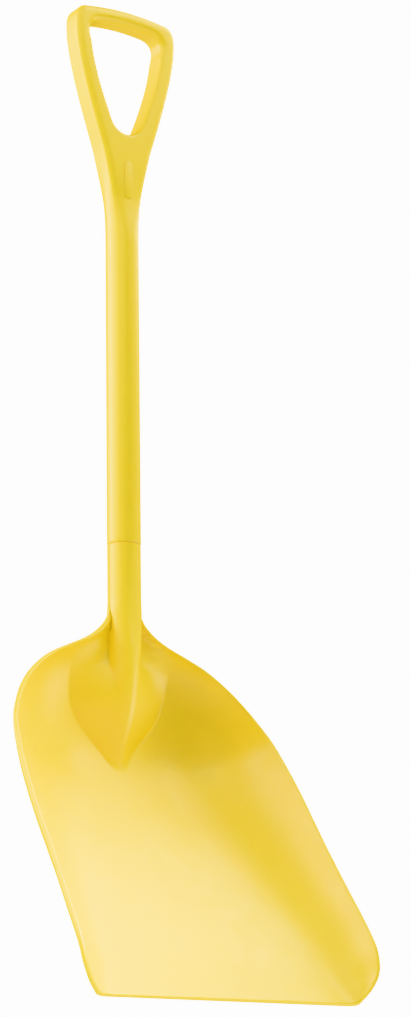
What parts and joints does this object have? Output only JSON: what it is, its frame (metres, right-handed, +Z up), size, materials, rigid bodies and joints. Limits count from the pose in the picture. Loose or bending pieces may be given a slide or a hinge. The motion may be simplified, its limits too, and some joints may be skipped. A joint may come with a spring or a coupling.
{
  "type": "grain scoop shovel",
  "caption": "Moulded plastic scoop shovel with a wide dished blade, raised side walls, an oval shaft and a rounded D-grip.",
  "frame": {"origin": "middle of the underside of the grip's cross bar, where a peg or hook bears", "axes": "+Z up along the shaft towards the grip, -Y the hollow front of the scoop, X across the blade"},
  "size_m": [0.3498, 0.2214, 1.0933],
  "materials": {
    "blade": "satin moulded polypropylene",
    "shaft": "satin moulded polypropylene",
    "d_grip": "satin moulded polypropylene"
  },
  "bodies": {
    "root": {"blade": "blade", "shaft": "shaft", "d_grip": "d_grip"}
  },
  "joints": []
}
